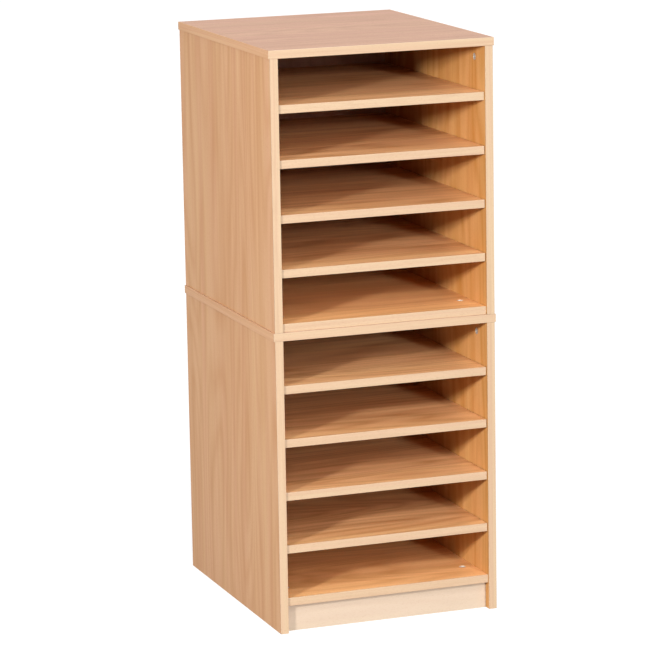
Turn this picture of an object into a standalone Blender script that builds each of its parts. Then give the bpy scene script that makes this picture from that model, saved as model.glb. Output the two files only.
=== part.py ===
"""Paper storage cabinet: two open-fronted beech board units, one standing on the other.

Metres, +Z up. The cabinet faces -Y, X runs to the right as seen from the front, and the origin is at
the middle of its footprint on the floor. Each unit is a carcass of top, sides, base and back, held by
cam fittings, with loose shelves that draw forward off bent wires hidden in grooves in their ends.
"""

import math
from typing import NamedTuple

import bmesh
import bpy
from mathutils import Matrix, Vector

# Boards of the carcass
BOARD = 0.018
INSIDE_WIDTH = 0.478
DEPTH = 0.620
TOP_OVERHANG = 0.003
COMPARTMENT_HEIGHT = 0.101
COMPARTMENTS = 5
BASE_SETBACK = 0.005
PLINTH_HEIGHT = 0.061
PLINTH_SETBACK = 0.019
REAR_PLINTH_INSET = 0.012

# Back panel, held in grooves in the boards round it
BACK_THICKNESS = 0.008
BACK_INSET = 0.012
BACK_GROOVE_DEPTH = 0.006

# Loose shelves, each on a bent wire at either end
SHELF_SETBACK = 0.005
SHELF_END_GAP = 0.0015
SHELF_REAR_GAP = 0.002
WIRE_DIAMETER = 0.003
WIRE_OFFSET = 0.0045
WIRE_BEND = 0.003
WIRE_LEG_DEPTH = 0.009
WIRE_FRONT = 0.040
WIRE_REAR = 0.030
SLOT_CLEARANCE = 0.0025

# Cam fittings: a round cam let into one board, and its bolt, screwed into the next one
CAM_DIAMETER = 0.015
CAM_DEPTH = 0.0125
CAM_RECESS = 0.0003
BOLT_DIAMETER = 0.006
BOLT_REACH = 0.011
TOP_CAM_DROP = 0.0295
TOP_CAM_FROM_FRONT = 0.061
BASE_CAM_FROM_END = 0.027
BASE_CAM_FROM_FRONT = 0.090

# Dowels that keep the upper unit in place on the lower one
DOWEL_DIAMETER = 0.008
DOWEL_LENGTH = 0.020
DOWEL_FROM_FRONT = 0.130

# Clearance between faces that meet, and the number of sides of round pieces
FIT = 0.0003
CAM_SIDES = 20
ROD_SIDES = 10
WIRE_BEND_STEPS = 3
WIRE_ROUND_STEPS = 2

# Places that follow from the sizes above
FRONT = -DEPTH / 2
REAR = DEPTH / 2
INSIDE = INSIDE_WIDTH / 2
OUTSIDE = INSIDE + BOARD
BACK_REAR_FACE = REAR - BACK_INSET
BACK_FRONT_FACE = BACK_REAR_FACE - BACK_THICKNESS
SHELF_FRONT = FRONT + SHELF_SETBACK
SHELF_REAR = BACK_FRONT_FACE - SHELF_REAR_GAP
SHELF_HALF_WIDTH = INSIDE - SHELF_END_GAP
WIRE_RUN = INSIDE - WIRE_OFFSET
WIRE_ENDS = (SHELF_FRONT + WIRE_FRONT, SHELF_REAR - WIRE_REAR)
BOARD_MIDDLE = BOARD / 2
CAM_HOLE_DEPTH = CAM_RECESS + CAM_DEPTH + FIT
SIDES = {"left": -1, "right": 1}
ENDS = {"front": -1, "rear": 1}

# Colour, roughness and metallic value of each finish
FINISHES = {
    "beech": ((0.62, 0.37, 0.19), 0.45, 0.0),
    "beech_shelf": ((0.60, 0.35, 0.18), 0.45, 0.0),
    "beech_back": ((0.50, 0.30, 0.17), 0.55, 0.0),
    "zinc": ((0.62, 0.60, 0.57), 0.35, 1.0),
    "steel_wire": ((0.55, 0.55, 0.55), 0.3, 1.0),
    "dowel_wood": ((0.68, 0.50, 0.30), 0.7, 0.0),
}


class Unit(NamedTuple):
    """One of the two stacked carcasses, by the heights of its side panels' feet and of its base."""

    name: str
    foot: float
    base: float

    @property
    def floor(self):
        """Upper face of the base, on which the lowest sheets of paper lie."""
        return self.base + BOARD

    @property
    def ceiling(self):
        """Underside of the top panel."""
        return self.shelf_underside(COMPARTMENTS)

    @property
    def top(self):
        return self.ceiling + BOARD

    def shelf_underside(self, number):
        """Underside of a shelf, counted upwards from 1. The top panel is the last of the row."""
        return self.floor + number * COMPARTMENT_HEIGHT + (number - 1) * BOARD


def clear_scene():
    for leftover in list(bpy.data.objects):
        bpy.data.objects.remove(leftover, do_unlink=True)


def finish(piece, finish_name):
    """Give a piece its own material in one of the finishes."""
    colour, roughness, metallic = FINISHES[finish_name]
    material = bpy.data.materials.new(piece.name + "_" + finish_name)
    material.use_nodes = True
    shader = material.node_tree.nodes["Principled BSDF"]
    shader.inputs["Base Color"].default_value = (*colour, 1.0)
    shader.inputs["Roughness"].default_value = roughness
    shader.inputs["Metallic"].default_value = metallic
    material.diffuse_color = (*colour, 1.0)
    piece.data.materials.append(material)


def link(name, data, place):
    piece = bpy.data.objects.new(name, data)
    piece.location = place
    bpy.context.scene.collection.objects.link(piece)
    return piece


def add_block(mesh, low, high):
    """Add a box to an open mesh, by two opposite corners."""
    size = Vector(high) - Vector(low)
    middle = (Vector(high) + Vector(low)) / 2
    bmesh.ops.create_cube(mesh, size=1.0, matrix=Matrix.Translation(middle) @ Matrix.Diagonal((*size, 1.0)))


def add_rod(mesh, start, end, radius, sides):
    """Add a closed round rod to an open mesh. Its flats, not its corners, lie at the radius."""
    run = Vector(end) - Vector(start)
    turn = run.to_track_quat("Z", "Y").to_matrix().to_4x4()
    middle = (Vector(start) + Vector(end)) / 2
    corner = radius / math.cos(math.pi / sides)
    bmesh.ops.create_cone(
        mesh, cap_ends=True, segments=sides, radius1=corner, radius2=corner, depth=run.length,
        matrix=Matrix.Translation(middle) @ turn)


def close_mesh(name, mesh, place):
    """Turn an open mesh, given in the cabinet's frame, into an object whose origin is at a place."""
    bmesh.ops.translate(mesh, verts=mesh.verts, vec=-Vector(place))
    data = bpy.data.meshes.new(name)
    mesh.to_mesh(data)
    mesh.free()
    return link(name, data, place)


def board(name, low, high, finish_name="beech"):
    mesh = bmesh.new()
    add_block(mesh, low, high)
    piece = close_mesh(name, mesh, (Vector(low) + Vector(high)) / 2)
    finish(piece, finish_name)
    return piece


def hide(tool):
    tool.hide_render = True
    tool.display_type = "WIRE"


def boolean(piece, tool, operation):
    hide(tool)
    change = piece.modifiers.new(tool.name, "BOOLEAN")
    change.operation = operation
    change.solver = "EXACT"
    change.object = tool


def cut_rods(piece, purpose, rods, radius, sides):
    """Drill a board: each hole is a start and an end, and no two holes of one purpose meet."""
    mesh = bmesh.new()
    for start, end in rods:
        add_rod(mesh, start, end, radius, sides)
    boolean(piece, close_mesh(piece.name + "_" + purpose, mesh, piece.location), "DIFFERENCE")


def cut_blocks(piece, purpose, blocks):
    """Groove a board: each groove is the low and the high corner of a box."""
    mesh = bmesh.new()
    for low, high in blocks:
        add_block(mesh, low, high)
    boolean(piece, close_mesh(piece.name + "_" + purpose, mesh, piece.location), "DIFFERENCE")


def top_cam_places(unit, side):
    """Centres of the cams at the upper end of one side panel, on its inner face."""
    for end in ENDS.values():
        yield Vector((side * INSIDE, end * (REAR - TOP_CAM_FROM_FRONT), unit.ceiling - TOP_CAM_DROP))


def base_cam_places(unit, side):
    """Centres of the cams at one end of a base, on its upper face."""
    for end in ENDS.values():
        yield Vector((side * (INSIDE - BASE_CAM_FROM_END), end * (REAR - BASE_CAM_FROM_FRONT), unit.floor))


def top_bolt(place, side, spare=0.0):
    """Run of a bolt from a cam in a side panel up into the top panel."""
    start = place + Vector((side * BOARD_MIDDLE, 0, 0))
    return start, start + Vector((0, 0, TOP_CAM_DROP + BOLT_REACH + spare))


def base_bolt(place, side, spare=0.0):
    """Run of a bolt from a cam in a base out into the side panel."""
    start = place - Vector((0, 0, BOARD_MIDDLE))
    return start, start + Vector((side * (BASE_CAM_FROM_END + BOLT_REACH + spare), 0, 0))


def wire_height(unit, number):
    return unit.shelf_underside(number) + BOARD_MIDDLE


def dowel_places(lower):
    for side_name, side in SIDES.items():
        for end_name, end in ENDS.items():
            place = Vector((side * (INSIDE + BOARD_MIDDLE), end * (REAR - DOWEL_FROM_FRONT), lower.top))
            yield side_name, end_name, place


def dowel_run(place, spare=0.0):
    half = DOWEL_LENGTH / 2 + spare
    return place - Vector((0, 0, half)), place + Vector((0, 0, half))


def back_groove(low_x, high_x, low_z, high_z):
    """A groove of the back panel's thickness, with its clearance, in one of the boards round it."""
    return (low_x, BACK_FRONT_FACE - FIT, low_z), (high_x, BACK_REAR_FACE + FIT, high_z)


def make_top(unit, dowel_holes):
    half = OUTSIDE + TOP_OVERHANG
    piece = board(unit.name + "_top", (-half, FRONT, unit.ceiling), (half, REAR, unit.top))
    reach = INSIDE + BACK_GROOVE_DEPTH
    cut_blocks(piece, "back_groove", [
        back_groove(-reach, reach, unit.ceiling - BOARD, unit.ceiling + BACK_GROOVE_DEPTH)])
    bolts = [top_bolt(place, side, FIT) for side in SIDES.values() for place in top_cam_places(unit, side)]
    cut_rods(piece, "bolt_holes", bolts, BOLT_DIAMETER / 2 + FIT, ROD_SIDES)
    if dowel_holes:
        cut_rods(piece, "dowel_holes", dowel_holes, DOWEL_DIAMETER / 2 + FIT, ROD_SIDES)


def make_side(unit, side_name, dowel_holes):
    side = SIDES[side_name]
    faces = sorted((side * INSIDE, side * OUTSIDE))
    piece = board(
        unit.name + "_" + side_name + "_side",
        (faces[0], FRONT, unit.foot), (faces[1], REAR, unit.ceiling - FIT))
    groove = sorted((side * (INSIDE - BOARD), side * (INSIDE + BACK_GROOVE_DEPTH)))
    cut_blocks(piece, "back_groove", [
        back_groove(groove[0], groove[1], unit.foot - BOARD, unit.ceiling + BOARD)])
    inward = Vector((side, 0, 0))
    places = list(top_cam_places(unit, side))
    cams = [(place - inward * BOARD, place + inward * CAM_HOLE_DEPTH) for place in places]
    cut_rods(piece, "cam_holes", cams, CAM_DIAMETER / 2 + FIT, CAM_SIDES)
    bolts = [top_bolt(place, side) for place in places]
    bolts +=[base_bolt(place, side, FIT) for place in base_cam_places(unit, side)]
    cut_rods(piece, "bolt_holes", bolts, BOLT_DIAMETER / 2 + FIT, ROD_SIDES)
    legs = []
    for number in range(1, COMPARTMENTS):
        for y in WIRE_ENDS:
            inner = Vector((side * (INSIDE - BOARD), y, wire_height(unit, number)))
            legs.append((inner, inner + Vector((side * (BOARD + WIRE_LEG_DEPTH + FIT), 0, 0))))
    cut_rods(piece, "wire_holes", legs, WIRE_DIAMETER / 2 + FIT, ROD_SIDES)
    if dowel_holes:
        own = [run for run in dowel_holes if run[0].x * side > 0]
        cut_rods(piece, "dowel_holes", own, DOWEL_DIAMETER / 2 + FIT, ROD_SIDES)


def make_base(unit):
    half = INSIDE - FIT
    piece = board(
        unit.name + "_base", (-half, FRONT + BASE_SETBACK, unit.base), (half, REAR, unit.floor))
    cut_blocks(piece, "back_groove", [
        back_groove(-INSIDE - BOARD, INSIDE + BOARD, unit.floor - BACK_GROOVE_DEPTH, unit.floor + BOARD)])
    places = [place for side in SIDES.values() for place in base_cam_places(unit, side)]
    inward = Vector((0, 0, -1))
    cams = [(place - inward * BOARD, place + inward * CAM_HOLE_DEPTH) for place in places]
    cut_rods(piece, "cam_holes", cams, CAM_DIAMETER / 2 + FIT, CAM_SIDES)
    bolts = [base_bolt(place, side) for side in SIDES.values() for place in base_cam_places(unit, side)]
    cut_rods(piece, "bolt_holes", bolts, BOLT_DIAMETER / 2 + FIT, ROD_SIDES)


def make_back(unit):
    tongue = BACK_GROOVE_DEPTH - FIT
    board(
        unit.name + "_back",
        (-INSIDE - tongue, BACK_FRONT_FACE, unit.floor - tongue),
        (INSIDE + tongue, BACK_REAR_FACE, unit.ceiling + tongue),
        "beech_back")


def make_shelf(unit, number):
    """A loose shelf. The slots in its ends are open behind, so that it draws forward off its wires."""
    underside = unit.shelf_underside(number)
    piece = board(
        unit.name + "_shelf_" + str(number),
        (-SHELF_HALF_WIDTH, SHELF_FRONT, underside), (SHELF_HALF_WIDTH, SHELF_REAR, underside + BOARD),
        "beech_shelf")
    half_slot = WIRE_DIAMETER / 2 + FIT
    beyond_wire = WIRE_DIAMETER / 2 + SLOT_CLEARANCE
    height = wire_height(unit, number)
    slots = []
    for side in SIDES.values():
        reach = sorted((side * (WIRE_RUN - beyond_wire), side * (INSIDE + BOARD)))
        slots.append(((reach[0], WIRE_ENDS[0] - beyond_wire, height - half_slot),
                      (reach[1], SHELF_REAR + BOARD, height + half_slot)))
    cut_blocks(piece, "wire_slots", slots)


def wire_path(side):
    """Points along a shelf wire: in from the front leg's end, round a bend, along, and out again."""
    leg_end = INSIDE + WIRE_LEG_DEPTH
    front, rear = WIRE_ENDS
    bends = []
    for y, along in ((front, 1), (rear, -1)):
        for step in range(WIRE_BEND_STEPS + 1):
            angle = math.pi / 2 * step / WIRE_BEND_STEPS
            out = WIRE_RUN + WIRE_BEND * (1 - math.sin(angle))
            bends.append((out, y + along * WIRE_BEND * (1 - math.cos(angle))))
    first, last = bends[:len(bends) // 2], bends[len(bends) // 2:]
    path = [(leg_end, front), *first, *reversed(last), (leg_end, rear)]
    return [Vector((side * out, y, 0)) for out, y in path]


def make_wire(unit, number, side_name):
    name = unit.name + "_shelf_" + str(number) + "_" + side_name + "_wire"
    curve = bpy.data.curves.new(name, "CURVE")
    curve.dimensions = "3D"
    curve.bevel_depth = WIRE_DIAMETER / 2
    curve.bevel_resolution = WIRE_ROUND_STEPS
    curve.use_fill_caps = True
    path = wire_path(SIDES[side_name])
    spline = curve.splines.new("POLY")
    spline.points.add(len(path) - 1)
    for point, place in zip(spline.points, path):
        point.co = (*place, 1.0)
    piece = link(name, curve, Vector((0, 0, wire_height(unit, number))))
    finish(piece, "steel_wire")


def make_cam(name, place, inward, bolt):
    """A cam let into a board at a place on its face, with the bolt that it draws in."""
    mesh = bmesh.new()
    face = place + inward * CAM_RECESS
    add_rod(mesh, face, face + inward * CAM_DEPTH, CAM_DIAMETER / 2, CAM_SIDES)
    cam = close_mesh(name, mesh, place)
    shank = bmesh.new()
    add_rod(shank, *bolt, BOLT_DIAMETER / 2, ROD_SIDES)
    boolean(cam, close_mesh(name + "_bolt", shank, place), "UNION")
    finish(cam, "zinc")


def make_cams(unit):
    for side_name, side in SIDES.items():
        for end_name, place in zip(ENDS, top_cam_places(unit, side)):
            name = "_".join((unit.name, "top_cam", end_name, side_name))
            make_cam(name, place, Vector((side, 0, 0)), top_bolt(place, side))
        for end_name, place in zip(ENDS, base_cam_places(unit, side)):
            name = "_".join((unit.name, "base_cam", end_name, side_name))
            make_cam(name, place, Vector((0, 0, -1)), base_bolt(place, side))


def make_plinths(unit):
    """The two rails under the lower base, between the side panels."""
    half = INSIDE - FIT
    front = FRONT + PLINTH_SETBACK
    rear = REAR - REAR_PLINTH_INSET
    for name, near in (("front_plinth", front), ("rear_plinth", rear - BOARD)):
        board(name, (-half, near, unit.foot), (half, near + BOARD, unit.base - FIT))


def make_dowels(unit):
    for side_name, end_name, place in dowel_places(unit):
        mesh = bmesh.new()
        add_rod(mesh, *dowel_run(place), DOWEL_DIAMETER / 2, ROD_SIDES)
        piece = close_mesh("stacking_dowel_" + end_name + "_" + side_name, mesh, place)
        finish(piece, "dowel_wood")


def main():
    clear_scene()
    lower = Unit("lower", 0.0, PLINTH_HEIGHT)
    upper_foot = lower.top + FIT
    upper = Unit("upper", upper_foot, upper_foot)
    dowel_holes = [dowel_run(place, FIT) for _, _, place in dowel_places(lower)]
    for unit in (lower, upper):
        make_top(unit, dowel_holes if unit is lower else [])
        for side_name in SIDES:
            make_side(unit, side_name, dowel_holes if unit is upper else [])
        make_base(unit)
        make_back(unit)
        for number in range(1, COMPARTMENTS):
            make_shelf(unit, number)
            for side_name in SIDES:
                make_wire(unit, number, side_name)
        make_cams(unit)
    make_plinths(lower)
    make_dowels(lower)


main()
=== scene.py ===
import math
from typing import NamedTuple

import bmesh
import bpy
from mathutils import Matrix, Vector


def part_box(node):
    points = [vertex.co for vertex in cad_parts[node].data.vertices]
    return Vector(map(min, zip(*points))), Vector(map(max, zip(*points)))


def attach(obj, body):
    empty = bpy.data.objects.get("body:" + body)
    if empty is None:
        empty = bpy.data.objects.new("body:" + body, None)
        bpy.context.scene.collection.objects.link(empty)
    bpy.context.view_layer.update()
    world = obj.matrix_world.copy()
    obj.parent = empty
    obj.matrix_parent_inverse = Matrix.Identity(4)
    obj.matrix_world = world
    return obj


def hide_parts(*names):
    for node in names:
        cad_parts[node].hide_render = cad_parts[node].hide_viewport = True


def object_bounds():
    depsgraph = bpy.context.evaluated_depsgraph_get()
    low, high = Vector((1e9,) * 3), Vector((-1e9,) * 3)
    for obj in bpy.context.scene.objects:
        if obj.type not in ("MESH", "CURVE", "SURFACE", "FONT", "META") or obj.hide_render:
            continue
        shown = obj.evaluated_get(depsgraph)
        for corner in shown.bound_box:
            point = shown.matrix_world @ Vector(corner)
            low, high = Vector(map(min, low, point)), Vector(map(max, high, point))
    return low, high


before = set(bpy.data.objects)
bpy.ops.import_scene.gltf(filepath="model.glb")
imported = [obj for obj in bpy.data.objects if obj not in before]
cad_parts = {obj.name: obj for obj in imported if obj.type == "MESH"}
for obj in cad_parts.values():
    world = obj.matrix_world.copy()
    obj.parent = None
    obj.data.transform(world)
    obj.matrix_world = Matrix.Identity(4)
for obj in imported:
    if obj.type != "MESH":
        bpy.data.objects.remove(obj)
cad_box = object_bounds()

X, Y, Z = 0, 1, 2

# How the boards are finished, in metres
EDGING = 0.002
EDGING_ROUND = 0.0014
EDGING_END_ROUND = 0.0005
ROUND_STEPS = 4
ARRIS = 0.0003
SMOOTH_ANGLE = math.radians(35)

# Fittings: cams with their bolts, shelf wires and dowels
CAM_RADIUS = 0.0075
CAM_DEPTH = 0.0125
CAM_RECESS = 0.0003
CAM_RIM = 0.0011
CAM_DISH = 0.00035
CAM_CHAMFER = 0.0004
CROSS_ARM = 0.0074
CROSS_WIDTH = 0.0017
CROSS_DEPTH = 0.0035
BOLT_RADIUS = 0.003
BOLT_THREAD = 0.010
THREAD_PITCH = 0.0012
THREAD_ROOT = 0.8
WIRE_BEND = 0.003
WIRE_CHAMFER = 0.0003
DOWEL_FLUTE = 0.92
DOWEL_CHAMFER = 0.001
DRILL_PLAY = 0.0002
CAM_SIDES = 48
ROD_SIDES = 24

# Slots for the shelf wires, and how far a drill or a saw runs out of the board
SLOT_CLEARANCE = 0.0025
DRILL_BEYOND = 0.02
SLOT_BEYOND = 0.06

# Camera, as fitted to the photograph: the lens is written for a sensor as wide as the picture
SENSOR = 36.0
PICTURE = 650
FOCAL_PIXELS = 3447
CAMERA_PLACE = (-2.668, -7.182, 2.172)
CAMERA_YAW = math.radians(-20.18)
CAMERA_PITCH = math.radians(11.49)
CAMERA_ROLL = math.radians(-0.98)

# Light from all round, and the white floor: what it reflects, and its glow where it is seen
AMBIENT = 0.10
FLOOR_SIZE = 60.0
FLOOR_WHITE = 0.25
FLOOR_GLOW = 0.82

# Lamps, by azimuth and elevation in degrees as seen from the front, and level, where 1 is plain light
NEAR_LAMPS = {
    "left_lamp": {"azimuth": -50.5, "elevation": 15, "level": 0.92, "distance": 5.5, "size": 0.45},
}
FAR_LAMPS = {
    "front_lamp": {"azimuth": 9, "elevation": 12, "level": 0.63, "spread": 6},
    "front_softbox": {"azimuth": -18, "elevation": 25, "level": 0.34, "spread": 14},
    "high_lamp": {"azimuth": 0, "elevation": 52, "level": 0.39, "spread": 20},
    "overhead_lamp": {"azimuth": 0, "elevation": 86, "level": 0.26, "spread": 40},
    "rear_lamp": {"azimuth": 128, "elevation": 9, "level": 0.40, "spread": 20},
}

UNITS = ("lower", "upper")
HANDS = {"left": -1, "right": 1}
ENDS = ("front", "rear")
SHELVES = (1, 2, 3, 4)

# Each side of a board: its axis, and which end of that axis it lies at
BOARD_SIDES = {
    "left": (X, 0), "right": (X, 1), "front": (Y, 0), "rear": (Y, 1), "under": (Z, 0), "over": (Z, 1)}

# Cosine above which a face is taken to look along an axis
SQUARE_ON = 0.9


class Figure(NamedTuple):
    """Noise drawn out along a grain: features in a metre along and across, and the span used."""

    along: float
    across: float
    detail: float = 2.0
    distortion: float = 0.0
    shift: float = 0.0
    low: float = 0.0
    high: float = 1.0


# The figure of the beech-effect facing, from broad bands down to flecks
HUES = Figure(0.9, 26.0, distortion=0.4, low=0.32, high=0.68)
BANDS = Figure(1.6, 22.0, detail=4.0, distortion=0.5, shift=9.0, low=0.41, high=0.6)
GROWTH = Figure(0.8, 5.5, detail=1.0, distortion=0.3, shift=3.0)
STREAKS = Figure(2.5, 130.0, detail=3.0, shift=5.0, low=0.3, high=0.7)
FINE_LINES = Figure(6.0, 450.0, shift=7.0, low=0.3, high=0.7)
FLECKS = Figure(200.0, 1300.0, detail=0.0, shift=11.0, low=0.63, high=0.75)
GROWTH_LINES = 30.0
NOISE_ROUGHNESS = 0.55

# The figure of drawn wire and of turned dowels
DRAWN_LINES = Figure(10.0, 3000.0)
DULL_PATCHES = Figure(40.0, 300.0, shift=5.0, low=0.35, high=0.65)
TURNED_STREAKS = Figure(20.0, 900.0, detail=3.0, low=0.3, high=0.7)
PORES = Figure(300.0, 4000.0, detail=0.0, shift=4.0, low=0.6, high=0.75)

# Chips and dust of sawn board, and mottle and grit of cast zinc, counted in a metre
CHIPS = 420.0
DUST = 1500.0
MOTTLE = 700.0
GRIT = 4000.0


class Paint:
    """An output of a shader tree. Arithmetic on it adds Math nodes, and node() adds any other node."""

    def __init__(self, tree, socket=None):
        self.tree = tree
        self.socket = socket

    def node(self, kind, settings=None, sockets=None, output=0):
        """Add a node, set its settings and then its sockets, and return one of its outputs."""
        made = self.tree.nodes.new("ShaderNode" + kind)
        for name, value in (settings or {}).items():
            setattr(made, name, value)
        for name, value in (sockets or {}).items():
            if isinstance(value, Paint):
                self.tree.links.new(value.socket, made.inputs[name])
            else:
                made.inputs[name].default_value = value
        return Paint(self.tree, made.outputs[output] if made.outputs else None)

    def math(self, operation, first, second):
        return self.node("Math", {"operation": operation}, {0: first, 1: second})

    def __add__(self, other):
        return self.math("ADD", self, other)

    def __radd__(self, other):
        return self.math("ADD", other, self)

    def __sub__(self, other):
        return self.math("SUBTRACT", self, other)

    def __rsub__(self, other):
        return self.math("SUBTRACT", other, self)

    def __mul__(self, other):
        return self.math("MULTIPLY", self, other)

    def __rmul__(self, other):
        return self.math("MULTIPLY", other, self)

    def between(self, low, high):
        """This value stretched so that low becomes 0 and high becomes 1, and no further."""
        return self.node("MapRange", {}, {"Value": self, "From Min": low, "From Max": high})

    def blend(self, first, second):
        """A colour from first to second, by this value."""
        return self.node(
            "Mix", {"data_type": "RGBA"}, {"Factor": self, 6: first, 7: second}, output=2)


def colour(red, green, blue):
    return (red, green, blue, 1.0)


def new_material(name):
    """A material with an empty tree, and the start of its paint."""
    material = bpy.data.materials.new(name)
    material.use_nodes = True
    material.node_tree.nodes.clear()
    return material, Paint(material.node_tree)


def surface(paint, base, roughness, normal, metallic=0.0, **constants):
    """Close a tree with a Principled BSDF. The constants are set on the shader's own sockets."""
    sockets = {"Base Color": base, "Roughness": roughness, "Normal": normal, "Metallic": metallic}
    sockets.update({name.replace("_", " "): value for name, value in constants.items()})
    shader = paint.node("BsdfPrincipled", {}, sockets)
    paint.node("OutputMaterial", {}, {"Surface": shader})


def grained(paint, axis, figure, fineness=1.0):
    """A figure with its grain along one axis, as a value from 0 to 1."""
    place = paint.node("TexCoord", output="Object")
    scale = [figure.across * fineness] * 3
    scale[axis] = figure.along
    shift = [figure.shift] * 3
    drawn_out = paint.node("Mapping", {}, {"Vector": place, "Scale": scale, "Location": shift})
    noise = paint.node("TexNoise", {}, {
        "Vector": drawn_out, "Scale": 1.0, "Detail": figure.detail,
        "Roughness": NOISE_ROUGHNESS, "Distortion": figure.distortion})
    return noise.between(figure.low, figure.high)


def speckled(paint, scale, detail):
    """Noise that is alike in all directions."""
    place = paint.node("TexCoord", output="Object")
    return paint.node("TexNoise", {}, {"Vector": place, "Scale": scale, "Detail": detail})


def bumped(paint, height, strength, distance):
    sockets = {"Height": height, "Strength": strength, "Distance": distance}
    return paint.node("Bump", {}, sockets, output="Normal")


def beech(name, axis, tints, strength, sheen, roughness=0.36, fineness=1.0):
    """Beech-effect facing along one axis: bands of hue and tone, flames of growth lines, and flecks."""
    yellow, pink, dark = tints
    material, paint = new_material(name)
    hues = grained(paint, axis, HUES, fineness)
    bands = grained(paint, axis, BANDS, fineness)
    growth = grained(paint, axis, GROWTH, fineness)
    flames = paint.math("PINGPONG", GROWTH_LINES * growth, 1.0).between(0.3, 1.0)
    streaks = grained(paint, axis, STREAKS, fineness)
    fine = grained(paint, axis, FINE_LINES, fineness)
    flecks = grained(paint, axis, FLECKS)
    hue = 0.65 * hues + 0.35 * streaks
    tone = 0.4 * bands + 0.38 * flames + 0.14 * streaks + 0.08 * fine
    wood = (strength * tone).blend(hue.blend(yellow, pink), dark)
    base = (0.35 * flecks).blend(wood, dark)
    normal = bumped(paint, 0.6 * fine - 0.8 * flecks, 0.12, 0.0003)
    surface(paint, base, roughness + 0.08 * fine, normal, Specular_IOR_Level=sheen)
    return material


def chipboard(name):
    """Sawn chipboard, seen where a board's edge has no strip: pale chips with darker ones between."""
    material, paint = new_material(name)
    place = paint.node("TexCoord", output="Object")
    chips = {"Vector": place, "Scale": CHIPS, "Randomness": 1.0}
    cell = paint.node("TexVoronoi", {}, chips, output="Color")
    tone = paint.node("SeparateColor", {}, {"Color": cell})
    hollow = paint.node("TexVoronoi", {}, chips, output="Distance")
    dust = speckled(paint, DUST, 2.0)
    wood = tone.blend(PALE_CHIP, DARK_CHIP)
    base = (0.3 * dust).blend(wood, SAWDUST)
    normal = bumped(paint, dust - hollow, 0.5, 0.0006)
    surface(paint, base, 0.85 + 0.1 * dust, normal)
    return material


def cast_zinc(name):
    """Die-cast zinc of the cams: dull, faintly mottled and a little pitted."""
    material, paint = new_material(name)
    mottle = speckled(paint, MOTTLE, 3.0).between(0.3, 0.7)
    grit = speckled(paint, GRIT, 2.0)
    base = mottle.blend(BRIGHT_ZINC, DULL_ZINC)
    normal = bumped(paint, grit + mottle, 0.15, 0.0002)
    surface(paint, base, 0.40 + 0.14 * mottle, normal, metallic=0.75)
    return material


def drawn_steel(name):
    """Bright drawn wire, with the die's fine lines along it."""
    material, paint = new_material(name)
    lines = grained(paint, Y, DRAWN_LINES)
    dull = grained(paint, Y, DULL_PATCHES)
    base = dull.blend(BRIGHT_STEEL, DULL_STEEL)
    surface(paint, base, 0.22 + 0.15 * dull, bumped(paint, lines, 0.2, 0.0001), metallic=1.0)
    return material


def dowel_wood(name):
    """Plain turned beech of the dowels, with its grain along them."""
    material, paint = new_material(name)
    streaks = grained(paint, Z, TURNED_STREAKS)
    pores = grained(paint, Z, PORES)
    base = streaks.blend(PALE_DOWEL, DARK_DOWEL)
    base = (0.4 * pores).blend(base, DARK_PORE)
    surface(paint, base, 0.6 + 0.15 * streaks, bumped(paint, streaks - pores, 0.3, 0.0002))
    return material


# Colours of bare chipboard, zinc, steel and turned beech
PALE_CHIP = colour(0.70, 0.51, 0.33)
DARK_CHIP = colour(0.44, 0.28, 0.16)
SAWDUST = colour(0.76, 0.60, 0.42)
BRIGHT_ZINC = colour(0.82, 0.80, 0.76)
DULL_ZINC = colour(0.68, 0.66, 0.62)
BRIGHT_STEEL = colour(0.72, 0.72, 0.71)
DULL_STEEL = colour(0.56, 0.56, 0.55)
PALE_DOWEL = colour(0.72, 0.52, 0.32)
DARK_DOWEL = colour(0.58, 0.38, 0.21)
DARK_PORE = colour(0.30, 0.17, 0.08)

# Tints of each kind of board: yellowish, pinkish and dark. All are one beech-effect facing; most kinds
# below are lighter or darker copies of it, with light and shade painted in, as noted at each.
INNER_TINTS = colour(0.655, 0.37, 0.14), colour(0.635, 0.322, 0.13), colour(0.42, 0.158, 0.01)
# Outer faces of the side panels, and the top's end edges: a paler, pinker copy of the inner facing,
# with painted sheen of the white surroundings
OUTER_SHEEN_TINTS = colour(0.625, 0.375, 0.195), colour(0.605, 0.325, 0.185), colour(0.43, 0.176, 0.046)
# Shelves: a lighter copy of the facing, with painted light that reaches deep into the compartments
SHELF_LIT_TINTS = colour(0.83, 0.5, 0.23), colour(0.81, 0.44, 0.22), colour(0.38, 0.14, 0.03)
# Bases: a lighter copy of the facing, as for the shelves, with painted light in the lowest compartments
BASE_LIT_TINTS = colour(0.87, 0.51, 0.215), colour(0.85, 0.45, 0.205), colour(0.44, 0.165, 0.03)
# Edging strips: paler and greyer than the facing, with painted highlight of the brightly lit front
# edges
EDGING_HIGHLIGHT_TINTS = colour(0.46, 0.34, 0.21), colour(0.45, 0.295, 0.19), colour(0.315, 0.18, 0.1)
# Tops: a paler, pinker copy of the facing, with painted sheen of the white surroundings seen at a low
# angle
TOP_SHEEN_TINTS = colour(0.58, 0.362, 0.246), colour(0.565, 0.327, 0.24), colour(0.28, 0.155, 0.104)
# Back panels: darker and greyer than the facing, with painted shade of the rear of the compartments
BACK_SHADE_TINTS = colour(0.46, 0.27, 0.19), colour(0.45, 0.24, 0.175), colour(0.21, 0.09, 0.05)
# Plinths: paler than the facing, with painted light from the white floor below
PLINTH_LIT_TINTS = colour(0.485, 0.385, 0.282), colour(0.475, 0.36, 0.275), colour(0.35, 0.23, 0.153)

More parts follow.
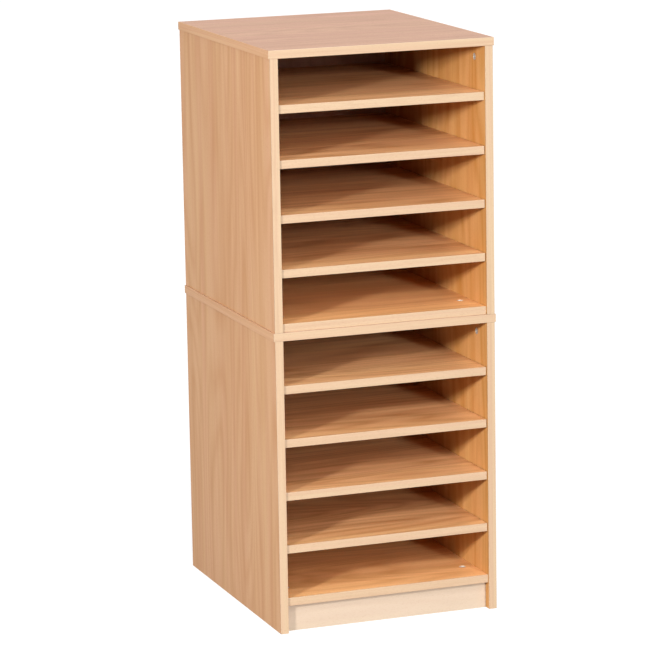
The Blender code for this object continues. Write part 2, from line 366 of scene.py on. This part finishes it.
# Beech finishes: the axis of the grain, tints, strength of the figure, sheen, roughness, fineness
BEECH = {
    "top_across_painted_sheen": (X, TOP_SHEEN_TINTS, 0.34, 0.4, 0.7),
    "shelf_across": (X, SHELF_LIT_TINTS, 0.8, 0.5),
    "base_across_painted_light": (X, BASE_LIT_TINTS, 0.6, 0.5),
    "side_upright": (Z, INNER_TINTS, 0.72, 0.17),
    "outer_upright": (Z, OUTER_SHEEN_TINTS, 0.58, 0.05),
    "back_upright_painted_shade": (Z, BACK_SHADE_TINTS, 0.34, 0.4),
    "plinth_across_painted_light": (X, PLINTH_LIT_TINTS, 0.22, 0.5),
    "edging_across": (X, EDGING_HIGHLIGHT_TINTS, 0.34, 0.5, 0.36, 6.0),
    "edging_upright": (Z, EDGING_HIGHLIGHT_TINTS, 0.34, 0.5, 0.36, 6.0),
    "edging_deep": (Y, OUTER_SHEEN_TINTS, 0.4, 0.1, 0.36, 5.0),
}
FINISHES = {name: beech(name, *look) for name, look in BEECH.items()}
FINISHES["sawn_chipboard"] = chipboard("sawn_chipboard")
FINISHES["cast_zinc"] = cast_zinc("cast_zinc")
FINISHES["drawn_steel"] = drawn_steel("drawn_steel")
FINISHES["dowel_wood"] = dowel_wood("dowel_wood")


def settled(name):
    """Name the primitive just added, and move its place and size into its mesh."""
    bpy.ops.object.transform_apply(location=True, rotation=True, scale=True)
    piece = bpy.context.object
    piece.name = name
    piece.data.name = name
    return piece


def block(name, low, high):
    bpy.ops.object.select_all(action="DESELECT")
    bpy.ops.mesh.primitive_cube_add(size=1.0, location=(low + high) / 2, scale=high - low)
    return settled(name)


def rod(name, start, end, radius, sides):
    run = end - start
    bpy.ops.object.select_all(action="DESELECT")
    bpy.ops.mesh.primitive_cylinder_add(
        vertices=sides, radius=radius, depth=run.length, location=(start + end) / 2,
        rotation=run.to_track_quat("Z", "Y").to_euler())
    return settled(name)


def disc(name, centre, normal, radius, sides):
    """A flat round face, to be drawn out into a longer piece."""
    bpy.ops.object.select_all(action="DESELECT")
    bpy.ops.mesh.primitive_circle_add(
        vertices=sides, radius=radius, fill_type="NGON", location=centre,
        rotation=normal.to_track_quat("Z", "Y").to_euler())
    return settled(name)


def make_active(piece):
    bpy.ops.object.select_all(action="DESELECT")
    piece.select_set(True)
    bpy.context.view_layer.objects.active = piece


def edit(piece, mode):
    make_active(piece)
    bpy.ops.object.mode_set(mode="EDIT")
    bpy.ops.mesh.select_mode(type=mode)


def select_edges(piece, chosen):
    """In edit mode, select the edges whose two ends pass a test."""
    bpy.ops.mesh.select_all(action="DESELECT")
    mesh = bmesh.from_edit_mesh(piece.data)
    for edge in mesh.edges:
        edge.select_set(chosen(edge.verts[0].co, edge.verts[1].co))
    bmesh.update_edit_mesh(piece.data)


def select_faces(piece, chosen):
    """In edit mode, select the faces whose normal passes a test."""
    bpy.ops.mesh.select_all(action="DESELECT")
    mesh = bmesh.from_edit_mesh(piece.data)
    for face in mesh.faces:
        face.select_set(chosen(face.normal))
    bmesh.update_edit_mesh(piece.data)


def round_edges(piece, radius, steps, chosen):
    edit(piece, "EDGE")
    select_edges(piece, chosen)
    bpy.ops.mesh.bevel(offset=radius, segments=steps, affect="EDGES")
    bpy.ops.object.mode_set(mode="OBJECT")


def smooth(piece):
    """Shade a piece smooth, with its flat faces flat up to their rounded edges."""
    make_active(piece)
    bpy.ops.object.shade_smooth_by_angle(angle=SMOOTH_ANGLE)
    bpy.ops.object.modifier_add(type="WEIGHTED_NORMAL")
    change = piece.modifiers[-1]
    change.keep_sharp = True
    bpy.ops.object.modifier_apply(modifier=change.name)


def cut(piece, tools, operation="DIFFERENCE"):
    """Cut each tool out of a piece, or join it on. New faces keep the tool's own finish, if any."""
    for tool in tools:
        make_active(piece)
        bpy.ops.object.modifier_add(type="BOOLEAN")
        change = piece.modifiers[-1]
        change.operation = operation
        change.object = tool
        change.material_mode = "TRANSFER"
        bpy.ops.object.modifier_apply(modifier=change.name)
        bpy.data.objects.remove(tool)


def sawn(tool):
    """Let a cutting tool leave bare chipboard behind."""
    tool.data.materials.append(FINISHES["sawn_chipboard"])
    return tool


def hand_in(piece, body, slot, *nodes):
    """Shade a finished piece, and tie it to the frame."""
    smooth(piece)
    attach(piece, body)
    if nodes:
        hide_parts(*nodes)


def sliced(low, high, side, thickness):
    """The box that is left when a board loses a layer at one side, and the layer's own box."""
    axis, end = BOARD_SIDES[side]
    rest = [low.copy(), high.copy()]
    layer = [low.copy(), high.copy()]
    meeting = rest[end][axis] + (thickness if end == 0 else -thickness)
    rest[end][axis] = meeting
    layer[1 - end][axis] = meeting
    return rest, layer


def edging_strip(name, low, high, side, finish, body):
    """A strip glued to one edge of a board, with its outer edges rounded."""
    strip = block(name, low, high)
    axis, end = BOARD_SIDES[side]
    outer = (low, high)[end][axis]
    spans = [high[other] - low[other] for other in range(3)]
    length_axis = spans.index(max(spans))

    def on_outer_face(first, second):
        return abs(first[axis] - outer) < ARRIS and abs(second[axis] - outer) < ARRIS

    def lengthwise(first, second):
        return abs(first[length_axis] - second[length_axis]) > EDGING

    def long_outer(first, second):
        return on_outer_face(first, second) and lengthwise(first, second)

    def short_outer(first, second):
        return on_outer_face(first, second) and not lengthwise(first, second)

    round_edges(strip, EDGING_END_ROUND, 2, short_outer)
    round_edges(strip, EDGING_ROUND, ROUND_STEPS, long_outer)
    strip.data.materials.append(FINISHES[finish])
    hand_in(strip, body, "beech_board")


def bare(*sides):
    """Sides of a board that show the chipboard."""
    return {side: "sawn_chipboard" for side in sides}


def board(node, body, finish, edged, others):
    """A faced board in place of a CAD node. Edged sides get strips, some others their own finish."""
    low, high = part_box(node)
    for side, strip_finish in edged.items():
        (low, high), layer = sliced(low, high, side, EDGING)
        edging_strip(node + "_" + side + "_edging", *layer, side, strip_finish, body)
    panel = block(node + "_panel", low, high)
    names = [finish, *sorted(set(others.values()))]
    for name in names:
        panel.data.materials.append(FINISHES[name])
    for face in panel.data.polygons:
        for side, other in others.items():
            axis, end = BOARD_SIDES[side]
            if face.normal[axis] * (1 if end else -1) > SQUARE_ON:
                face.material_index = names.index(other)
    round_edges(panel, ARRIS, 2, lambda first, second: True)
    return panel


def box_middle(node):
    low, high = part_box(node)
    return (low + high) / 2


def cam_places(unit, kind, hand):
    """Centres of the front and the rear cam at one end of a board, on the face they are let into."""
    for end in ENDS:
        low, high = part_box("_".join((unit, kind, end, hand)))
        middle = (low.y + high.y) / 2
        if kind == "top_cam":
            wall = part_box(unit + "_" + hand + "_side")
            face = wall[1].x if hand == "left" else wall[0].x
            yield Vector((face, middle, low.z + CAM_RADIUS))
        else:
            reach = high.x - CAM_RADIUS if hand == "left" else low.x + CAM_RADIUS
            yield Vector((reach, middle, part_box(unit + "_base")[1].z))


def cam_tools(unit, kind, hand):
    """Tools that drill one end's cam holes."""
    for place in cam_places(unit, kind, hand):
        inward = Vector((HANDS[hand], 0, 0)) if kind == "top_cam" else Vector((0, 0, -1))
        start = place - inward * DRILL_BEYOND
        foot = place + inward * (CAM_RECESS + CAM_DEPTH + DRILL_PLAY)
        yield sawn(rod("cam_drill", start, foot, CAM_RADIUS + DRILL_PLAY, CAM_SIDES))


def bolt_tools(unit, kind, hand):
    """Tools that drill the holes of one end's bolts, from the cam's middle to the bolt's tip."""
    for end in ENDS:
        low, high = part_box("_".join((unit, kind, end, hand)))
        middle = (low + high) / 2
        if kind == "top_cam":
            wall = box_middle(unit + "_" + hand + "_side").x
            start = Vector((wall, middle.y, low.z + CAM_RADIUS))
            tip = Vector((wall, middle.y, high.z + DRILL_PLAY))
        else:
            height = box_middle(unit + "_base").z
            ends = high.x - CAM_RADIUS, low.x - DRILL_PLAY
            if hand == "right":
                ends = low.x + CAM_RADIUS, high.x + DRILL_PLAY
            start, tip = (Vector((end_x, middle.y, height)) for end_x in ends)
        yield sawn(rod("bolt_drill", start, tip, BOLT_RADIUS + DRILL_PLAY, ROD_SIDES))


def dowel_tools(hand):
    for end in ENDS:
        low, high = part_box("stacking_dowel_" + end + "_" + hand)
        middle = (low + high) / 2
        start = Vector((middle.x, middle.y, low.z - DRILL_PLAY))
        tip = Vector((middle.x, middle.y, high.z + DRILL_PLAY))
        radius = (high.x - low.x) / 2 + DRILL_PLAY
        yield sawn(rod("dowel_drill", start, tip, radius, ROD_SIDES))


def wire_tools(unit, hand):
    """Tools that drill the holes of the shelf wires' legs in one side panel."""
    for number in SHELVES:
        low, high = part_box("_".join((unit, "shelf", str(number), hand, "wire")))
        radius = (high.z - low.z) / 2
        height = low.z + radius
        ends = (high.x, low.x - DRILL_PLAY) if hand == "left" else (low.x, high.x + DRILL_PLAY)
        for y in (low.y + radius, high.y - radius):
            start, tip = (Vector((end_x, y, height)) for end_x in ends)
            yield sawn(rod("wire_drill", start, tip, radius + DRILL_PLAY, ROD_SIDES))


def back_groove(unit):
    """A tool that grooves the boards round a back panel: the panel itself with its play."""
    low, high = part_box(unit + "_back")
    play = Vector((DRILL_PLAY, DRILL_PLAY, DRILL_PLAY))
    return sawn(block("groove_saw", low - play, high + play))


def make_top(unit):
    edged = {side: "edging_across" for side in ("front", "rear")}
    # The top's end edges take the outer faces' tints, with the same painted sheen
    edged.update({side: "edging_deep" for side in ("left", "right")})
    panel = board(unit + "_top", "carcass", "top_across_painted_sheen", edged, {})
    cut(panel, [back_groove(unit)])
    for hand in HANDS:
        cut(panel, bolt_tools(unit, "top_cam", hand))
        if unit == "lower":
            cut(panel, dowel_tools(hand))
    hand_in(panel, "carcass", "beech_board", unit + "_top")


def make_side(unit, hand):
    node = unit + "_" + hand + "_side"
    others = bare("rear", "under", "over")
    # The outer face gets the paler copy of the facing, with painted sheen
    others[hand] = "outer_upright"
    panel = board(node, "carcass", "side_upright", {"front": "edging_upright"}, others)
    cut(panel, [back_groove(unit)])
    for kind in ("top_cam", "base_cam"):
        cut(panel, bolt_tools(unit, kind, hand))
    cut(panel, cam_tools(unit, "top_cam", hand))
    cut(panel, wire_tools(unit, hand))
    if unit == "upper":
        cut(panel, dowel_tools(hand))
    hand_in(panel, "carcass", "beech_board", node)


def make_base(unit):
    node = unit + "_base"
    others = bare("rear", "left", "right")
    panel = board(node, "carcass", "base_across_painted_light", {"front": "edging_across"}, others)
    cut(panel, [back_groove(unit)])
    for hand in HANDS:
        cut(panel, bolt_tools(unit, "base_cam", hand))
        cut(panel, cam_tools(unit, "base_cam", hand))
    hand_in(panel, "carcass", "beech_board", node)


def make_back(unit):
    node = unit + "_back"
    panel = board(node, "carcass", "back_upright_painted_shade", {}, bare("left", "right", "under", "over"))
    hand_in(panel, "carcass", "beech_back", node)


def slot_tools(node):
    """Tools that saw the slots for a shelf's wires, open to the shelf's end and to the rear."""
    for hand in HANDS:
        low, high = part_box(node + "_" + hand + "_wire")
        near = Vector((low.x, low.y - SLOT_CLEARANCE, low.z - DRILL_PLAY))
        far = Vector((high.x, high.y + SLOT_BEYOND, high.z + DRILL_PLAY))
        if hand == "left":
            far.x += SLOT_CLEARANCE
        else:
            near.x -= SLOT_CLEARANCE
        yield sawn(block("slot_saw", near, far))


def make_shelf(unit, number):
    node = unit + "_shelf_" + str(number)
    others = bare("rear", "left", "right")
    panel = board(node, node, "shelf_across", {"front": "edging_across"}, others)
    cut(panel, slot_tools(node))
    hand_in(panel, node, "beech_shelf", node)


def make_plinths():
    for node in ("front_plinth", "rear_plinth"):
        panel = board(node, "carcass", "plinth_across_painted_light", {}, bare("left", "right", "under", "over"))
        hand_in(panel, "carcass", "beech_board", node)


def draw_out(run):
    """In edit mode, draw the selected face out along a run."""
    bpy.ops.mesh.extrude_region_move(TRANSFORM_OT_translate={"value": run})


def make_wire(unit, number, hand):
    """A bent wire: a leg out of the side panel, a bend, the run along the shelf's end, and back."""
    node = "_".join((unit, "shelf", str(number), hand, "wire"))
    low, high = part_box(node)
    radius = (high.z - low.z) / 2
    way = HANDS[hand]
    tip = high.x if way > 0 else low.x
    run = low.x + radius if way > 0 else high.x - radius
    front, rear = low.y + radius, high.y - radius
    height = low.z + radius
    bend = run + way * WIRE_BEND
    start = Vector((tip, front, height))
    wire = disc(node + "_bent", start, Vector((-way, 0, 0)), radius, ROD_SIDES)
    edit(wire, "FACE")
    bpy.ops.mesh.select_all(action="SELECT")
    draw_out((bend - tip, 0, 0))
    quarter = {"steps": ROUND_STEPS * 2, "angle": way * math.pi / 2, "axis": (0, 0, 1)}
    bpy.ops.mesh.spin(center=(bend, front + WIRE_BEND, height), **quarter)
    draw_out((0, rear - front - 2 * WIRE_BEND, 0))
    bpy.ops.mesh.spin(center=(bend, rear - WIRE_BEND, height), **quarter)
    draw_out((tip - bend, 0, 0))
    bpy.ops.mesh.select_all(action="SELECT")
    bpy.ops.mesh.remove_doubles(threshold=radius / 100)
    bpy.ops.mesh.normals_make_consistent(inside=False)
    bpy.ops.object.mode_set(mode="OBJECT")
    round_edges(wire, WIRE_CHAMFER, 1, lambda first, second: (
        abs(first.x - tip) + abs(second.x - tip) < radius / 10))
    wire.data.materials.append(FINISHES["drawn_steel"])
    hand_in(wire, "carcass", "steel_wire", node)


def make_bolt(length):
    """A bolt along +X from the middle of its cam, with a thread at its tip."""
    root = BOLT_RADIUS * THREAD_ROOT
    bolt = disc("bolt", Vector((0, 0, 0)), Vector((1, 0, 0)), root, ROD_SIDES)
    edit(bolt, "FACE")
    bpy.ops.mesh.select_all(action="SELECT")
    place = length - BOLT_THREAD
    draw_out((place, 0, 0))
    ridges = round(BOLT_THREAD / THREAD_PITCH) - 1
    for ridge in range(ridges):
        for grow in (1 / THREAD_ROOT, THREAD_ROOT):
            draw_out((THREAD_PITCH / 2, 0, 0))
            place += THREAD_PITCH / 2
            bpy.ops.transform.resize(value=(1, grow, grow), center_override=(place, 0, 0))
    draw_out((length - place, 0, 0))
    narrowed = (1, THREAD_ROOT, THREAD_ROOT)
    bpy.ops.transform.resize(value=narrowed, center_override=(length, 0, 0))
    bpy.ops.mesh.select_all(action="SELECT")
    bpy.ops.mesh.normals_make_consistent(inside=False)
    bpy.ops.object.mode_set(mode="OBJECT")
    return bolt


def make_cam_pattern(length, half_board):
    """One cam and its bolt: the cam's face looks along +Z, just below the origin, the bolt along +X."""
    face = Vector((0, 0, -CAM_RECESS))
    foot = Vector((0, 0, -CAM_RECESS - CAM_DEPTH))
    cam = rod("cam_pattern", foot, face, CAM_RADIUS, CAM_SIDES)
    edit(cam, "FACE")
    select_faces(cam, lambda normal: normal.z > SQUARE_ON)
    bpy.ops.mesh.inset(thickness=CAM_RIM)
    draw_out((0, 0, -CAM_DISH))
    bpy.ops.object.mode_set(mode="OBJECT")
    round_edges(cam, CAM_CHAMFER, 2, lambda first, second: (
        abs(first.z - second.z) < ARRIS
        and min(first.xy.length, second.xy.length) > CAM_RADIUS - CAM_CHAMFER))
    arms = []
    for across in ((CROSS_ARM, CROSS_WIDTH), (CROSS_WIDTH, CROSS_ARM)):
        half = Vector((across[0] / 2, across[1] / 2, CROSS_DEPTH))
        arms.append(block("cross_punch", face - half, face + half))
    cut(cam, arms)
    bolt = make_bolt(length)
    bolt.data.transform(Matrix.Translation((0, 0, -half_board)))
    cut(cam, [bolt], "UNION")
    cam.data.materials.clear()
    cam.data.materials.append(FINISHES["cast_zinc"])
    return cam


def cam_turn(kind, way):
    """The turn that sets a cam's pattern into a side panel or a base, at the left or the right."""
    if kind == "top_cam":
        columns = Vector((0, 0, 1)), Vector((0, way, 0)), Vector((-way, 0, 0))
    else:
        columns = Vector((way, 0, 0)), Vector((0, way, 0)), Vector((0, 0, 1))
    return Matrix(columns).transposed().to_4x4()


def make_cam(pattern, node, placing):
    """A copy of a cam's pattern, with a mesh of its own, in place of a CAD node."""
    cam = pattern.copy()
    cam.data = pattern.data.copy()
    cam.name = node + "_cast"
    bpy.context.scene.collection.objects.link(cam)
    cam.matrix_world = placing
    make_active(cam)
    bpy.ops.object.transform_apply(location=True, rotation=True, scale=True)
    hand_in(cam, "carcass", "zinc_cam", node)


def make_cams():
    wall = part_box("lower_left_side")
    half_board = (wall[1].x - wall[0].x) / 2
    for kind in ("top_cam", "base_cam"):
        low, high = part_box("lower_" + kind + "_front_right")
        length = (high.z - low.z if kind == "top_cam" else high.x - low.x) - CAM_RADIUS
        pattern = make_cam_pattern(length, half_board)
        for unit in UNITS:
            for hand, way in HANDS.items():
                for end, place in zip(ENDS, cam_places(unit, kind, hand)):
                    placing = Matrix.Translation(place) @ cam_turn(kind, way)
                    make_cam(pattern, "_".join((unit, kind, end, hand)), placing)
        bpy.data.objects.remove(pattern)


def make_dowel(end, hand):
    """A fluted dowel, half in the lower unit's top and half in the side panel that stands on it."""
    node = "stacking_dowel_" + end + "_" + hand
    low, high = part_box(node)
    centre = (low + high) / 2
    radius = (high.x - low.x) / 2
    start, tip = (Vector((centre.x, centre.y, height)) for height in (low.z, high.z))
    dowel = rod(node + "_fluted", start, tip, radius, ROD_SIDES)

    def in_flute(first, second):
        # every second upright edge of the rod
        turn = math.atan2(first.y - centre.y, first.x - centre.x) / math.tau
        upright = (first - second).xy.length < ARRIS
        return upright and round(turn * ROD_SIDES + 0.25) % 2 == 0

    edit(dowel, "EDGE")
    select_edges(dowel, in_flute)
    bpy.ops.transform.resize(value=(DOWEL_FLUTE, DOWEL_FLUTE, 1), center_override=centre)
    bpy.ops.object.mode_set(mode="OBJECT")
    round_edges(dowel, DOWEL_CHAMFER, 2, lambda first, second: abs(first.z - second.z) < ARRIS)
    dowel.data.materials.append(FINISHES["dowel_wood"])
    hand_in(dowel, "carcass", "dowel_wood", node)


def build_cabinet():
    for unit in UNITS:
        make_top(unit)
        for hand in HANDS:
            make_side(unit, hand)
        make_base(unit)
        make_back(unit)
        for number in SHELVES:
            make_shelf(unit, number)
            for hand in HANDS:
                make_wire(unit, number, hand)
    make_plinths()
    make_cams()
    for end in ENDS:
        for hand in HANDS:
            make_dowel(end, hand)


def set_camera():
    data = bpy.data.cameras.new("photo_camera")
    data.sensor_width = SENSOR
    data.lens = FOCAL_PIXELS * SENSOR / PICTURE
    camera = bpy.data.objects.new("photo_camera", data)
    bpy.context.scene.collection.objects.link(camera)
    yaw = Matrix.Rotation(CAMERA_YAW, 4, "Z")
    pitch = Matrix.Rotation(math.pi / 2 - CAMERA_PITCH, 4, "X")
    roll = Matrix.Rotation(CAMERA_ROLL, 4, "Z")
    camera.matrix_world = Matrix.Translation(CAMERA_PLACE) @ yaw @ pitch @ roll
    bpy.context.scene.camera = camera


def turned_to(azimuth, elevation):
    """The turn of a lamp that shines on the cabinet from these angles, as seen from its front."""
    tilt = Matrix.Rotation(math.radians(90 - elevation), 4, "X")
    return Matrix.Rotation(math.radians(azimuth), 4, "Z") @ tilt


def add_lamp(name, kind, azimuth, elevation, place=(0, 0, 0)):
    data = bpy.data.lights.new(name, kind)
    lamp = bpy.data.objects.new(name, data)
    bpy.context.scene.collection.objects.link(lamp)
    lamp.matrix_world = Matrix.Translation(place) @ turned_to(azimuth, elevation)
    return data


def far_lamp(name, azimuth, elevation, level, spread):
    """A soft lamp far off, whose light is the same all over the cabinet. Its spread is in degrees."""
    data = add_lamp(name, "SUN", azimuth, elevation)
    data.energy = level * math.pi
    data.angle = math.radians(spread)


def near_lamp(name, azimuth, elevation, level, distance, size):
    """A soft square lamp at a distance from the cabinet's middle, where it gives its level."""
    middle = (cad_box[0] + cad_box[1]) / 2
    away = turned_to(azimuth, elevation) @ Vector((0, 0, distance))
    data = add_lamp(name, "AREA", azimuth, elevation, middle + away)
    data.energy = level * (math.pi * distance) ** 2
    data.size = size


def seen_directly(paint):
    """1 for what the camera sees, also in gloss or through glass, and 0 for light on other things."""
    rays = [paint.node("LightPath", output=ray) for ray in
            ("Is Camera Ray", "Is Glossy Ray", "Is Transmission Ray")]
    return paint.math("MAXIMUM", paint.math("MAXIMUM", rays[0], rays[1]), rays[2])


def set_world():
    world = bpy.data.worlds.new("white_studio")
    world.use_nodes = True
    world.node_tree.nodes.clear()
    paint = Paint(world.node_tree)
    level = AMBIENT + (1 - AMBIENT) * seen_directly(paint)
    sky = paint.node("Background", {}, {"Color": colour(1, 1, 1), "Strength": level})
    paint.node("OutputWorld", {}, {"Surface": sky})
    bpy.context.scene.world = world


def add_floor():
    bpy.ops.object.select_all(action="DESELECT")
    bpy.ops.mesh.primitive_plane_add(size=FLOOR_SIZE)
    floor = settled("studio_floor")
    material, paint = new_material("white_floor")
    matt = paint.node("BsdfDiffuse", {}, {"Color": colour(FLOOR_WHITE, FLOOR_WHITE, FLOOR_WHITE)})
    glow = paint.node("Emission", {}, {"Strength": FLOOR_GLOW * seen_directly(paint)})
    both = paint.node("AddShader", {}, {0: matt, 1: glow})
    paint.node("OutputMaterial", {}, {"Surface": both})
    floor.data.materials.append(material)


def set_studio():
    set_world()
    add_floor()
    for name, lamp in NEAR_LAMPS.items():
        near_lamp(name, **lamp)
    for name, lamp in FAR_LAMPS.items():
        far_lamp(name, **lamp)
    bpy.context.scene.view_settings.view_transform = "Standard"


build_cabinet()
set_camera()
set_studio()
